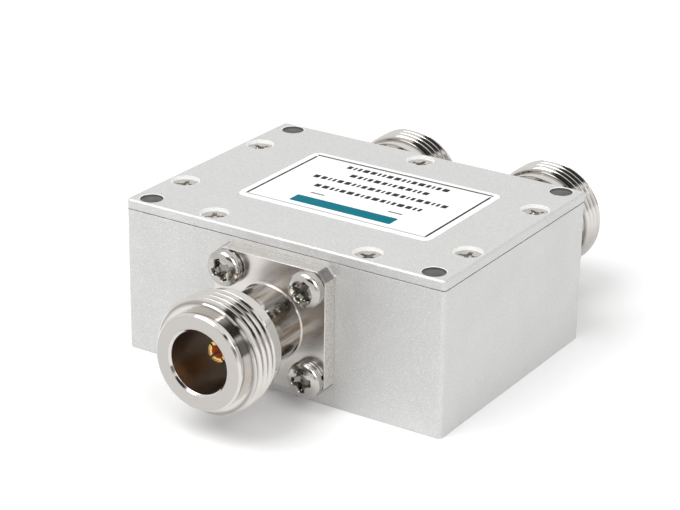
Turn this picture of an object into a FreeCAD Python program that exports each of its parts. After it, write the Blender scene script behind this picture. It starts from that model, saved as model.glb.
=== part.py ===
# Two-way RF power splitter: one input jack at the front, two output jacks at the rear.
# Frame: origin at the centre of the housing's base, +X to the right, +Y to the rear, +Z up.
# Every size is in millimetres. Names ending in _r are radii and names ending in _d diameters.

import FreeCAD
import Part
import os

V = FreeCAD.Vector
X_AXIS = V(1, 0, 0)
Z_AXIS = V(0, 0, 1)
ORIGIN = V(0, 0, 0)

# Housing and cover
body_width = 50.0
body_depth = 38.0
body_height = 22.0
cover_thickness = 1.4
body_corner_r = 0.6
cover_edge_break = 0.2
seam_edge_break = 0.08
base_edge_break = 0.05
side_wall = 6.0
end_wall = 6.0
cavity_corner_r = 3.0

# Clearance holes that go down through the corners of cover and housing
corner_hole_d = 3.2
corner_hole_land_x = 0.95
corner_hole_land_y = 0.15
hole_rim_chamfer = 0.05

# Countersunk screws that hold the cover, each sunk in a round recess
cover_screw_d = 2.0
cover_screw_head_d = 3.8
cover_screw_length = 6.0
cover_screw_sink = 0.5
cover_recess_land = 0.35
side_screw_spacing = 18.0
front_screw_spacing = 24.2
cross_depth = 0.7
cross_width = 0.5
cross_span = 2.3

# Label on the cover
label_width = 30.4
label_depth = 20.0
label_thickness = 0.1
label_corner_r = 1.2
label_centre_x = 1.3
label_centre_y = 0.9

# Jacks: distances called reach are measured outwards from the housing's face
jack_axis_rise = 0.1
output_spacing = 24.0
flange_side = 17.5
flange_thickness = 2.3
flange_corner_cut = 1.15
flange_hole_spacing = 12.7
flange_hole_d = 2.8
hub_d = 10.35
relief_d = 14.5
relief_reach = 9.85
thread_d = 15.85
thread_reach = 11.75
thread_end_reach = 16.3
thread_chamfer = 0.35
pilot_d = 13.2
pilot_chamfer = 0.3
jack_reach = 18.0
bore_d = 8.5
bore_depth = 9.1
mouth_flare = 0.7
mouth_depth = 0.4

# Dielectric inside each jack
dielectric_d = 7.0
dielectric_step_reach = 3.5
dielectric_neck_d = 4.2
dielectric_recess = 0.2

# Centre contact of each jack
contact_d = 3.04
contact_tip_reach = 13.8
contact_shoulder_reach = 4.5
contact_bore_d = 1.64
contact_bore_depth = 5.0
contact_slot_width = 0.3
contact_slot_depth = 4.0
tail_d = 1.3
tail_overlap = 1.5

# Pan-head screws and spring washers that hold each flange
flange_screw_d = 2.5
flange_screw_head_d = 5.0
flange_screw_head_height = 1.6
flange_screw_head_rim = 0.5
flange_screw_crown_d = 3.2
flange_screw_length = 6.0
flange_cross_width = 0.8
flange_cross_span = 2.9
flange_cross_depth = 1.0
flange_cross_turns = [35.0, 5.0, 60.0, 25.0]
washer_outer_d = 4.8
washer_thickness = 0.6
washer_gap = 0.5

# Circuit board and what it carries
board_thickness = 0.8
board_edge_gap = 0.2
track_thickness = 0.07
feed_width = 1.7
arm_width = 0.9
arm_reach = 5.4
arm_offset = 1.3
feed_length = 4.4
output_length = 6.5
loop_gap = 1.5
loop_count = 3
resistor_length = 2.3
resistor_width = 1.25
resistor_height = 0.5
board_screw_d = 2.0
board_screw_head_d = 3.8
board_screw_head_height = 1.5
board_screw_length = 5.0
board_screw_inset = 3.2

# Clearances between pieces that fit together
hole_gap = 0.05
screw_cone_gap = 0.05
dielectric_gap = 0.03
solder_gap = 0.04
tap_runout = 0.6

# Sizes that follow from the ones above
housing_height = body_height - cover_thickness
jack_axis_z = body_height / 2 + jack_axis_rise
tail_top = jack_axis_z - tail_d / 2
track_top = tail_top - solder_gap
board_top = track_top - track_thickness
cavity_floor = board_top - board_thickness
cavity_width = body_width - 2 * side_wall
cavity_depth = body_depth - 2 * end_wall
corner_rim_r = corner_hole_d / 2 + hole_rim_chamfer
corner_hole_x = body_width / 2 - cover_edge_break - corner_hole_land_x - corner_rim_r
corner_hole_y = body_depth / 2 - cover_edge_break - corner_hole_land_y - corner_rim_r
cover_recess_r = cover_screw_head_d / 2 + screw_cone_gap
cover_screw_x = body_width / 2 - cover_edge_break - cover_recess_land - cover_recess_r
cover_screw_y = body_depth / 2 - cover_edge_break - cover_recess_land - cover_recess_r
board_width = cavity_width - 2 * board_edge_gap
board_depth = cavity_depth - 2 * board_edge_gap
output_x = output_spacing / 2
board_screw_x = (arm_reach + arm_width / 2 + output_x - feed_width / 2) / 2
board_screw_y = cavity_depth / 2 - board_screw_inset
feed_start_y = -board_depth / 2
loop_pitch = (board_depth - feed_length - output_length + loop_gap) / loop_count
loop_height = loop_pitch - loop_gap
washer_reach = flange_thickness + washer_thickness


def points(*pairs):
    """Turn (radius, height) pairs into vectors in the XZ plane."""
    return [V(radius, 0, height) for radius, height in pairs]


def turned(*pairs):
    """Solid of revolution about Z of the closed outline given as (radius, height) pairs."""
    outline = points(*pairs)
    face = Part.Face(Part.makePolygon(outline + outline[:1]))
    return face.revolve(ORIGIN, Z_AXIS, 360)


def plate(width, depth, low, high, corner_r):
    """Rectangular plate centred on the Z axis with rounded vertical corners."""
    block = Part.makeBox(width, depth, high - low, V(-width / 2, -depth / 2, low))
    upright = [edge for edge in block.Edges if abs(edge.tangentAt(0).z) > 0.99]
    return block.makeFillet(corner_r, upright)


def rim_edges(solid, height):
    """Edges of the outer rim of a plate at one height."""
    return [edge for edge in solid.Edges if all(abs(v.Z - height) < 1e-6 for v in edge.Vertexes)]


def rod(radius, low, high, x=0.0, y=0.0):
    """Upright cylinder between two heights."""
    return Part.makeCylinder(radius, high - low, V(x, y, low), Z_AXIS)


def moved(solid, x, y, z=0.0):
    """Copy of a solid at another place."""
    copy = solid.copy()
    copy.translate(V(x, y, z))
    return copy


def cross_slot(width, span, depth, top, turn):
    """Cross-shaped recess cutter: two bars that meet on the Z axis and go down from a head's top."""
    bar = Part.makeBox(span, width, depth + 1.0, V(-span / 2, -width / 2, top - depth))
    other = bar.copy()
    other.rotate(ORIGIN, Z_AXIS, 90)
    cutter = bar.fuse(other)
    cutter.rotate(ORIGIN, Z_AXIS, turn)
    return cutter


def corner_hole_places():
    """Centres of the four clearance holes."""
    return [(sx * corner_hole_x, sy * corner_hole_y) for sx in (-1, 1) for sy in (-1, 1)]


def cover_screw_places():
    """Centres of the cover's screws: two on each side, two in front and one behind."""
    sides = [(sx * cover_screw_x, sy * side_screw_spacing / 2) for sx in (-1, 1) for sy in (-1, 1)]
    front = [(sx * front_screw_spacing / 2, -cover_screw_y) for sx in (-1, 1)]
    return sides + front + [(0.0, cover_screw_y)]


def flange_hole_places():
    """Centres of a flange's four holes, about the jack's axis."""
    half = flange_hole_spacing / 2
    return [(-half, -half), (half, -half), (half, half), (-half, half)]


def board_screw_places():
    """Centres of the board's screws, midway between the divider's arms and the output lines."""
    return [(sx * board_screw_x, sy * board_screw_y) for sx in (-1, 1) for sy in (-1, 1)]


def at_jack(solid, x, facing):
    """Place a solid made along +Z, from its mounting face, on the front (-1) or rear (+1) face."""
    copy = solid.copy()
    copy.rotate(ORIGIN, X_AXIS, 90)
    copy.translate(V(0, -body_depth / 2, 0))
    if facing > 0:
        copy.rotate(ORIGIN, Z_AXIS, 180)
    copy.translate(V(x, 0, jack_axis_z))
    return copy


JACKS = [("input", 0.0, -1),
         ("output_1", -output_x, 1),
         ("output_2", output_x, 1)]


def at_all_jacks(solids):
    """Group of copies of a jack's small pieces, placed at every jack."""
    return Part.makeCompound([at_jack(solid, x, facing) for name, x, facing in JACKS for solid in solids])


def tapped_hole(screw_d, depth):
    """Cutter for a tapped hole that opens at height 0 and goes down."""
    return rod(screw_d / 2 + hole_gap, -depth, 0.0)


def housing():
    """Milled housing: open-topped cavity, tapped holes and a bore in its wall behind each jack."""
    solid = plate(body_width, body_depth, 0.0, housing_height, body_corner_r)
    solid = solid.makeChamfer(base_edge_break, rim_edges(solid, 0.0))
    solid = solid.makeChamfer(seam_edge_break, rim_edges(solid, housing_height))
    cutters = [plate(cavity_width, cavity_depth, cavity_floor, body_height, cavity_corner_r)]
    corner_r = corner_hole_d / 2
    for x, y in corner_hole_places():
        cutters.append(rod(corner_r, -1.0, body_height, x, y))
    tap_depth = cover_screw_length + cover_screw_sink - cover_thickness + tap_runout
    for x, y in cover_screw_places():
        cutters.append(moved(tapped_hole(cover_screw_d, tap_depth), x, y, housing_height))
    for x, y in board_screw_places():
        cutters.append(moved(tapped_hole(board_screw_d, board_screw_length - board_thickness + tap_runout),
                             x, y, cavity_floor))
    flange_tap = tapped_hole(flange_screw_d, flange_screw_length - washer_reach + tap_runout)
    for name, jack_x, facing in JACKS:
        bore = rod(dielectric_neck_d / 2 + hole_gap, -end_wall - 1.0, 1.0)
        cutters.append(at_jack(bore, jack_x, facing))
        for x, y in flange_hole_places():
            cutters.append(at_jack(moved(flange_tap, x, y), jack_x, facing))
    return solid.cut(cutters)


def cover_plate():
    """Flat cover with through holes at its corners and a sunk conical seat for each screw."""
    solid = plate(body_width, body_depth, housing_height, body_height, body_corner_r)
    solid = solid.makeChamfer(cover_edge_break, rim_edges(solid, body_height))
    solid = solid.makeChamfer(seam_edge_break, rim_edges(solid, housing_height))
    hole_r = corner_hole_d / 2
    hole = turned((0, housing_height), (hole_r, housing_height),
                  (hole_r, body_height - hole_rim_chamfer), (corner_rim_r, body_height),
                  (0, body_height))
    cutters = [moved(hole, x, y) for x, y in corner_hole_places()]
    seat_top = body_height - cover_screw_sink
    seat_bottom_r = cover_recess_r - (seat_top - housing_height)
    recess = turned((0, body_height), (cover_recess_r, body_height), (cover_recess_r, seat_top),
                    (seat_bottom_r, housing_height), (0, housing_height))
    for x, y in cover_screw_places():
        cutters.append(moved(recess, x, y))
    return solid.cut(cutters)


def cover_screws():
    """The cover's countersunk screws, as one group of separate solids."""
    top = body_height - cover_screw_sink
    head_r = cover_screw_head_d / 2
    shank_r = cover_screw_d / 2
    cone_bottom = top - (head_r - shank_r)
    tip = top - cover_screw_length
    screw = turned((0, top), (head_r, top), (shank_r, cone_bottom), (shank_r, tip), (0, tip))
    solids = []
    for index, (x, y) in enumerate(cover_screw_places()):
        cutter = cross_slot(cross_width, cross_span, cross_depth, top, 35.0 * index)
        solids.append(moved(screw.cut(cutter), x, y))
    return Part.makeCompound(solids)


def label():
    """Thin rounded label on the cover."""
    sheet = plate(label_width, label_depth, body_height, body_height + label_thickness, label_corner_r)
    return moved(sheet, label_centre_x, label_centre_y)


def jack_shell():
    """One-piece jack body: square flange, hub, relief, thread's outer cylinder, pilot and bores."""
    hub_r = hub_d / 2
    relief_r = relief_d / 2
    thread_r = thread_d / 2
    pilot_r = pilot_d / 2
    barrel = turned((0, 0), (hub_r, 0), (hub_r, relief_reach), (relief_r, relief_reach),
                    (relief_r, thread_reach), (thread_r - thread_chamfer, thread_reach),
                    (thread_r, thread_reach + thread_chamfer),
                    (thread_r, thread_end_reach - thread_chamfer),
                    (thread_r - thread_chamfer, thread_end_reach), (pilot_r, thread_end_reach),
                    (pilot_r, jack_reach - pilot_chamfer), (pilot_r - pilot_chamfer, jack_reach),
                    (0, jack_reach))
    flange = Part.makeBox(flange_side, flange_side, flange_thickness,
                          V(-flange_side / 2, -flange_side / 2, 0))
    upright = [edge for edge in flange.Edges if abs(edge.tangentAt(0).z) > 0.99]
    flange = flange.makeChamfer(flange_corner_cut, upright)
    for x, y in flange_hole_places():
        flange = flange.cut(rod(flange_hole_d / 2, -1.0, flange_thickness + 1.0, x, y))
    solid = flange.fuse(barrel)
    bore_r = bore_d / 2
    seat_r = dielectric_d / 2 + dielectric_gap
    neck_r = dielectric_neck_d / 2 + dielectric_gap
    bottom = jack_reach - bore_depth
    hollow = turned((0, -1.0), (neck_r, -1.0), (neck_r, dielectric_step_reach),
                    (seat_r, dielectric_step_reach), (seat_r, bottom), (bore_r, bottom),
                    (bore_r, jack_reach - mouth_depth), (bore_r + mouth_flare, jack_reach),
                    (bore_r + mouth_flare, jack_reach + 1.0), (0, jack_reach + 1.0))
    return solid.cut(hollow)


def insulator():
    """Stepped dielectric bead that carries the centre contact and reaches through the wall."""
    body_r = dielectric_d / 2
    neck_r = dielectric_neck_d / 2
    contact_seat_r = contact_d / 2 + dielectric_gap
    tail_seat_r = tail_d / 2 + dielectric_gap
    front = jack_reach - bore_depth - dielectric_recess
    step = dielectric_step_reach + dielectric_gap
    shoulder = contact_shoulder_reach - dielectric_gap
    return turned((tail_seat_r, -end_wall), (neck_r, -end_wall), (neck_r, step), (body_r, step),
                  (body_r, front), (contact_seat_r, front), (contact_seat_r, shoulder),
                  (tail_seat_r, shoulder))


def centre_contact():
    """Slotted socket contact with a thin tail that lies over the board's feed line."""
    contact_r = contact_d / 2
    tail_r = tail_d / 2
    socket_r = contact_bore_d / 2
    tail_end = -end_wall - tail_overlap
    socket_bottom = contact_tip_reach - contact_bore_depth
    solid = turned((0, tail_end), (tail_r, tail_end), (tail_r, contact_shoulder_reach),
                   (contact_r, contact_shoulder_reach), (contact_r, contact_tip_reach),
                   (socket_r, contact_tip_reach), (socket_r, socket_bottom), (0, socket_bottom))
    slot = Part.makeBox(contact_d + 1.0, contact_slot_width, contact_slot_depth + 1.0,
                        V(-contact_d / 2 - 0.5, -contact_slot_width / 2,
                          contact_tip_reach - contact_slot_depth))
    slot.rotate(ORIGIN, Z_AXIS, 45)
    other = slot.copy()
    other.rotate(ORIGIN, Z_AXIS, 90)
    return solid.cut([slot, other])


def flange_screws():
    """The pan-head screws of all flanges, as one group of separate solids."""
    head_r = flange_screw_head_d / 2
    shank_r = flange_screw_d / 2
    rim_top = washer_reach + flange_screw_head_rim
    top = washer_reach + flange_screw_head_height
    tip = washer_reach - flange_screw_length
    screw = turned((0, tip), (shank_r, tip), (shank_r, washer_reach), (head_r, washer_reach),
                   (head_r, rim_top), (flange_screw_crown_d / 2, top), (0, top))
    solids = []
    for turn, (x, y) in zip(flange_cross_turns, flange_hole_places()):
        cutter = cross_slot(flange_cross_width, flange_cross_span, flange_cross_depth, top, turn)
        solids.append(moved(screw.cut(cutter), x, y))
    return at_all_jacks(solids)


def spring_washers():
    """The split washers under those screws, as one group of separate solids."""
    outer_r = washer_outer_d / 2
    inner_r = flange_screw_d / 2 + hole_gap
    ring = turned((inner_r, flange_thickness), (outer_r, flange_thickness),
                  (outer_r, washer_reach), (inner_r, washer_reach))
    gap = Part.makeBox(outer_r + 1.0, washer_gap, washer_thickness + 2.0,
                       V(0, -washer_gap / 2, flange_thickness - 1.0))
    solids = []
    for turn, (x, y) in zip(flange_cross_turns, flange_hole_places()):
        cutter = gap.copy()
        cutter.rotate(ORIGIN, Z_AXIS, 3 * turn)
        solids.append(moved(ring.cut(cutter), x, y))
    return at_all_jacks(solids)


def circuit_board():
    """Rounded laminate board on the cavity's floor, with a hole for each of its screws."""
    corner_r = cavity_corner_r
    solid = plate(board_width, board_depth, cavity_floor, board_top, corner_r)
    holes = [rod(board_screw_d / 2 + hole_gap, cavity_floor - 1.0, board_top + 1.0, x, y)
             for x, y in board_screw_places()]
    return solid.cut(holes)


def strip(start, end, width):
    """One straight run of track with square ends that reach half a width past both points."""
    low_x = min(start[0], end[0]) - width / 2
    low_y = min(start[1], end[1]) - width / 2
    length_x = abs(end[0] - start[0]) + width
    length_y = abs(end[1] - start[1]) + width
    return Part.makeBox(length_x, length_y, track_thickness, V(low_x, low_y, board_top))


def loop_start(index):
    """Y position at which one loop of the divider's arms begins."""
    return feed_start_y + feed_length + index * loop_pitch


def track_runs():
    """Centre lines of the divider's copper: feed, mirrored arms in loops, and output lines."""
    runs = [((0, feed_start_y + feed_width / 2), (0, loop_start(0)), feed_width)]
    for side in (-1, 1):
        inner = side * arm_offset
        outer = side * arm_reach
        runs.append(((0, loop_start(0)), (inner, loop_start(0)), arm_width))
        for index in range(loop_count):
            low = loop_start(index)
            high = low + loop_height
            runs.append(((inner, low), (outer, low), arm_width))
            runs.append(((outer, low), (outer, high), arm_width))
            runs.append(((outer, high), (inner, high), arm_width))
            if index < loop_count - 1:
                runs.append(((inner, high), (inner, high + loop_gap), arm_width))
        last = loop_start(loop_count - 1) + loop_height
        output = side * output_x
        runs.append(((outer, last), (output, last), feed_width))
        runs.append(((output, last), (output, board_depth / 2 - feed_width / 2), feed_width))
    return runs


def microstrip_tracks():
    """The divider's copper as one flat piece on the board."""
    pieces = [strip(start, end, width) for start, end, width in track_runs()]
    return pieces[0].multiFuse(pieces[1:]).removeSplitter()


def isolation_resistor(index):
    """Chip resistor that bridges the two arms at the end of one loop."""
    centre_y = loop_start(index) + loop_height
    return Part.makeBox(resistor_length, resistor_width, resistor_height,
                        V(-resistor_length / 2, centre_y - resistor_width / 2, track_top))


def board_screws():
    """The board's screws, as one group of separate solids."""
    head_r = board_screw_head_d / 2
    shank_r = board_screw_d / 2
    top = board_top + board_screw_head_height
    tip = board_top - board_screw_length
    screw = turned((0, tip), (shank_r, tip), (shank_r, board_top), (head_r, board_top),
                   (head_r, top), (0, top))
    return Part.makeCompound([moved(screw, x, y) for x, y in board_screw_places()])


def build():
    """All pieces by name."""
    parts = {"housing": housing(), "cover_plate": cover_plate(), "cover_screws": cover_screws(),
             "label": label(), "circuit_board": circuit_board(),
             "microstrip_tracks": microstrip_tracks(), "board_screws": board_screws(),
             "flange_screws": flange_screws(), "spring_washers": spring_washers()}
    for index in range(loop_count):
        parts["isolation_resistor_%d" % (index + 1)] = isolation_resistor(index)
    jack_pieces = {"jack_shell": jack_shell(), "insulator": insulator(),
                   "centre_contact": centre_contact()}
    for jack, x, facing in JACKS:
        for piece, solid in jack_pieces.items():
            parts["%s_%s" % (jack, piece)] = at_jack(solid, x, facing)
    return parts


os.makedirs("parts", exist_ok=True)
for node, shape in build().items():
    shape.exportStep("parts/%s.step" % node)
    print(node, len(shape.Solids), "solids", round(shape.Volume, 2), "mm3", shape.isValid())
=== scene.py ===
import logging
import math
from dataclasses import dataclass, field
from enum import Enum, IntEnum
from typing import Callable, Iterable, Optional, Sequence, Union

import bmesh
import bpy
import numpy as np
from mathutils import Matrix, Vector


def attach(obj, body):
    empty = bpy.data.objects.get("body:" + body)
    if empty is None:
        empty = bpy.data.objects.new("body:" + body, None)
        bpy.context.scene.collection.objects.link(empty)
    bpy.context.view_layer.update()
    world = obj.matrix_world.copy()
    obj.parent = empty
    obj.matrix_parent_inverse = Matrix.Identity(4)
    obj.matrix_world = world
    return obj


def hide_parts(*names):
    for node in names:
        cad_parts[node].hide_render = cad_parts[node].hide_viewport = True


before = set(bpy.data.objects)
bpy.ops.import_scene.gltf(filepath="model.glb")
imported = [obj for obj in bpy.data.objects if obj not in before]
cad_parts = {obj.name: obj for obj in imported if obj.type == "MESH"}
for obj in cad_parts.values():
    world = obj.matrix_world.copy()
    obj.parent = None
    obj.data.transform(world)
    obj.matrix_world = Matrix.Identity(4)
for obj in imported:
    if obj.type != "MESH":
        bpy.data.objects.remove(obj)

LOG = logging.getLogger("power_splitter")

Socket = bpy.types.NodeSocket
Material = bpy.types.Material
Pair = tuple[float, float]
Colour = tuple[float, float, float]

# What a node's input takes: a link from another node, a number, or a colour or vector.
Value = Union[Socket, float, Sequence[float]]

# Every size in this file is in millimetres, and a mesh is written in metres.
METRES = 0.001
TURN = 2.0 * math.pi
BODY = "root"
MERGE_DISTANCE = 2e-8
SHARP_ANGLE = math.radians(34.0)

# Beside a rounded corner, a point this much further out keeps the shading of long walls straight.
SUPPORT = 0.03

# Points closer to a wall than this belong to it.
NEAR = 0.02

# Most of a noise's values lie in this range.
NOISE_RANGE = (0.3, 0.7)

# Keeps a division by a length away from 0.
TINY = 1e-9


# Surfaces


@dataclass
class Surface:
    """A patch of a piece: its points in millimetres, its faces and a tone per point.

    A face has four corners, or three and a -1. The tone runs from 0 on open surfaces to 1 in the depth of
    a recess. The finishes read it to paint light and shade into recesses and thread roots.
    """

    points: np.ndarray
    quads: np.ndarray
    tone: Optional[np.ndarray] = None

    def tones(self) -> np.ndarray:
        """The tone of each point, which is 0 where none was given."""
        return np.zeros(len(self.points)) if self.tone is None else self.tone

    def shifted(self, x: float, y: float, z: float) -> "Surface":
        """The same patch at another place."""
        return Surface(self.points + np.array([x, y, z]), self.quads, self.tone)


def grid(x: np.ndarray, y: np.ndarray, z: np.ndarray) -> Surface:
    """Surface over a grid of points, where rows and columns are the two parameters.

    Args:
        x: Positions along X, one row of the grid per row of the array.
        y: Positions along Y.
        z: Positions along Z.

    Returns:
        The patch, with a face between each four neighbouring points.
    """
    x, y, z = np.broadcast_arrays(x, y, z)
    rows, columns = x.shape
    index = np.arange(rows * columns).reshape(rows, columns)
    quads = np.stack([index[:-1, :-1], index[:-1, 1:], index[1:, 1:], index[1:, :-1]], axis=-1)
    return Surface(np.stack([x, y, z], axis=-1).reshape(-1, 3), quads.reshape(-1, 4))


def joined(surfaces: Iterable[Surface]) -> Surface:
    """Put several patches together; their shared borders are merged when the mesh is made.

    Args:
        surfaces: The patches.

    Returns:
        One patch.
    """
    patches = list(surfaces)
    starts = np.cumsum([0] + [len(patch.points) for patch in patches[:-1]])
    return Surface(np.concatenate([patch.points for patch in patches]),
                   np.concatenate([np.where(patch.quads < 0, -1, patch.quads + start)
                                   for patch, start in zip(patches, starts)]),
                   np.concatenate([patch.tones() for patch in patches]))


def full_circle(segments: int) -> np.ndarray:
    """Angles once round, with the first one repeated at the end."""
    return np.linspace(0.0, TURN, segments + 1)


def quarter_circle(points: int) -> np.ndarray:
    """Angles of a quarter turn."""
    return np.linspace(0.0, TURN / 4, points)


def polar(radius: np.ndarray, angle: np.ndarray) -> tuple[np.ndarray, np.ndarray]:
    """X and Y of points at a radius and an angle."""
    return radius * np.cos(angle), radius * np.sin(angle)


def circle(radius: float, points: int) -> np.ndarray:
    """Rows of (x, y) once round the origin, each point once."""
    return np.stack(polar(radius, full_circle(points)[:-1]), axis=1)


def revolved(profile: np.ndarray, angles: np.ndarray) -> Surface:
    """Surface of revolution about Z.

    A point of the profile at radius r and height h goes to (r cos a, r sin a, h) at angle a.

    Args:
        profile: Rows of (radius, height).
        angles: The angles of the columns.

    Returns:
        The patch.
    """
    radius, height = profile[:, :1], profile[:, 1:2]
    return grid(*polar(radius, angles), height + 0.0 * angles)


def softened(corners: Sequence[tuple[float, float, float]], steps: int = 4) -> np.ndarray:
    """Profile with rounded corners.

    Each corner is replaced by a quadratic blend: with u from 0 to 1, the point is
    (1-u)^2 a + 2u(1-u) c + u^2 b, where c is the corner and a and b lie on its two sides. One more
    point a little further out on each side keeps the shading of long walls straight.

    Args:
        corners: Rows of (radius, height, rounding), where rounding is the distance from the corner.
        steps: Points in each rounded corner, less one.

    Returns:
        Rows of (radius, height).
    """
    table = np.array(corners, dtype=float)
    points, rounding = table[:, :2], table[:, 2]
    rows: list[np.ndarray] = []
    blend = np.linspace(0.0, 1.0, steps + 1)[:, None]
    for i, corner in enumerate(points):
        if i in (0, len(points) - 1) or rounding[i] <= 0.0:
            rows.append(corner[None, :])
            continue
        before, after = points[i - 1] - corner, points[i + 1] - corner
        before_length, after_length = np.linalg.norm(before), np.linalg.norm(after)
        start = corner + before / before_length * rounding[i]
        end = corner + after / after_length * rounding[i]
        support = rounding[i] + SUPPORT
        if support < before_length / 2:
            rows.append((corner + before / before_length * support)[None, :])
        rows.append((1 - blend) ** 2 * start + 2 * blend * (1 - blend) * corner + blend ** 2 * end)
        if support < after_length / 2:
            rows.append((corner + after / after_length * support)[None, :])
    return np.concatenate(rows)


def rounded_rectangle(width: float, depth: float, radius: float, steps: int = 8) -> np.ndarray:
    """Outline of a rectangle with rounded corners about the origin, with its first point repeated.

    Each corner is a quarter circle of points: corner centre + radius (cos a, sin a).

    Args:
        width: Size along X.
        depth: Size along Y.
        radius: Corner radius.
        steps: Points in each corner, less one.

    Returns:
        Rows of (x, y), anticlockwise.
    """
    starts = np.repeat(np.arange(4) * TURN / 4, steps + 1)
    angles = np.tile(quarter_circle(steps + 1), 4) + starts
    signs = np.repeat(np.array([[1, 1], [-1, 1], [-1, -1], [1, -1]]), steps + 1, axis=0)
    centres = signs * np.array([width / 2 - radius, depth / 2 - radius])
    outline = centres + np.stack(polar(radius, angles), axis=1)
    return np.vstack([outline, outline[:1]])


def plate(outline: np.ndarray, low: float, high: float, softness: float,
          edge_points: int = 4) -> Surface:
    """Flat plate over a convex outline, with a softened top edge.

    Ring k of the plate is the outline drawn in towards its centre by a share, at a height: the
    bottom from the centre out, the side, the quarter-round top edge, and the top back to the centre.

    Args:
        outline: Rows of (x, y), closed.
        low: Height of the underside.
        high: Height of the top.
        softness: Radius of the top edge.
        edge_points: Points across the top edge.

    Returns:
        The closed plate.
    """
    centre = (outline.min(axis=0) + outline.max(axis=0)) / 2
    reach = np.abs(outline - centre).max()
    arc = quarter_circle(edge_points)
    inset = np.concatenate([[reach, 0.0], softness * (1 - np.cos(arc)), [reach]])
    heights = np.concatenate([[low, low], high - softness + softness * np.sin(arc), [high]])
    share = (1.0 - inset / reach)[:, None]
    x = centre[0] + share * (outline[None, :, 0] - centre[0])
    y = centre[1] + share * (outline[None, :, 1] - centre[1])
    return grid(x, y, heights[:, None] + 0.0 * x)


# Pieces


def make_piece(name: str, surface: Surface, finish: Material,
               sharp: float = SHARP_ANGLE) -> bpy.types.Object:
    """Turn a surface into a piece that stands at the origin and rides on the body.

    Args:
        name: The piece's name.
        surface: Its points in millimetres, already in place.
        finish: Its material.
        sharp: Edges that bend more than this angle stay sharp.

    Returns:
        The new object.
    """
    mesh = bpy.data.meshes.new(name)
    points = surface.points * METRES
    corners = surface.quads[surface.quads >= 0].astype(np.int32)
    counts = (surface.quads >= 0).sum(axis=1)
    mesh.vertices.add(len(points))
    mesh.vertices.foreach_set("co", points.astype(np.float32).ravel())
    mesh.loops.add(len(corners))
    mesh.loops.foreach_set("vertex_index", corners)
    mesh.polygons.add(len(counts))
    mesh.polygons.foreach_set("loop_start", (np.cumsum(counts) - counts).astype(np.int32))
    mesh.update(calc_edges=True)
    mesh.attributes.new("tone", "FLOAT", "POINT").data.foreach_set("value", surface.tones())
    work = bmesh.new()
    work.from_mesh(mesh)
    bmesh.ops.remove_doubles(work, verts=work.verts, dist=MERGE_DISTANCE)
    bmesh.ops.dissolve_degenerate(work, edges=work.edges, dist=MERGE_DISTANCE)
    bmesh.ops.recalc_face_normals(work, faces=work.faces)
    work.to_mesh(mesh)
    work.free()
    mesh.validate()
    mesh.shade_smooth()
    mesh.set_sharp_from_angle(angle=sharp)
    mesh.materials.append(finish)
    piece = bpy.data.objects.new(name, mesh)
    bpy.context.scene.collection.objects.link(piece)
    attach(piece, BODY)
    LOG.info("made %s with %d faces", name, len(mesh.polygons))
    return piece


def dress_node(node: str, finish: Material) -> None:
    """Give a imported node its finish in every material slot.

    Args:
        node: The node's name.
        finish: Its material.
    """
    piece = bpy.data.objects[node]
    if not piece.material_slots:
        piece.data.materials.append(finish)
    for slot in piece.material_slots:
        slot.material = finish
    LOG.info("dressed %s", node)


# Places


class Facing(IntEnum):
    """Side that a jack faces, by the sign of its direction along Y."""

    FRONT = -1
    REAR = 1


@dataclass(frozen=True)
class JackPlace:
    """Where a jack stands: its X position and the side that it faces."""

    name: str
    offset: float
    facing: Facing
    axis_height: float = 11.1
    face: float = 19.0

    def place(self, surface: Surface) -> Surface:
        """Carry a surface built along +Z from the jack's mounting face to the jack's place.

        With f for the facing, the point (x, y, z) goes to
        (offset - f x, f (face + z), axis height + y).

        Args:
            surface: The local surface.

        Returns:
            The surface in the object's frame.
        """
        x, y, z = surface.points.T
        points = np.stack([self.offset - self.facing * x, self.facing * (self.face + z),
                           self.axis_height + y], axis=1)
        return Surface(points, surface.quads, surface.tone)


JACKS = (JackPlace("input", 0.0, Facing.FRONT), JackPlace("output_1", -12.0, Facing.REAR),
         JackPlace("output_2", 12.0, Facing.REAR))


# Shader nodes


@dataclass(frozen=True)
class Noise:
    """Settings of a noise.

    The scale counts features in a unit of length, which is a metre in object space. The detail is
    in octaves, the roughness weighs the finer ones, and the stretch is a scale along each axis.
    """

    scale: float
    detail: float = 3.0
    roughness: float = 0.5
    stretch: tuple[float, float, float] = (1.0, 1.0, 1.0)


@dataclass(frozen=True)
class Dent:
    """Settings of a bump: the depth in metres that a height of 1 stands for, and its strength."""

    depth: float
    strength: float = 0.5


class Mixed(Enum):
    """What a blend mixes."""

    COLOURS = "RGBA"
    NUMBERS = "FLOAT"


# A fine blasted or sanded grain.
GRAIN = Noise(5200.0, 2.0, 0.7)


def tinted(colour: Colour, factor: float) -> Colour:
    """A colour made lighter or darker by a factor."""
    return tuple(min(1.0, channel * factor) for channel in colour)


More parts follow.
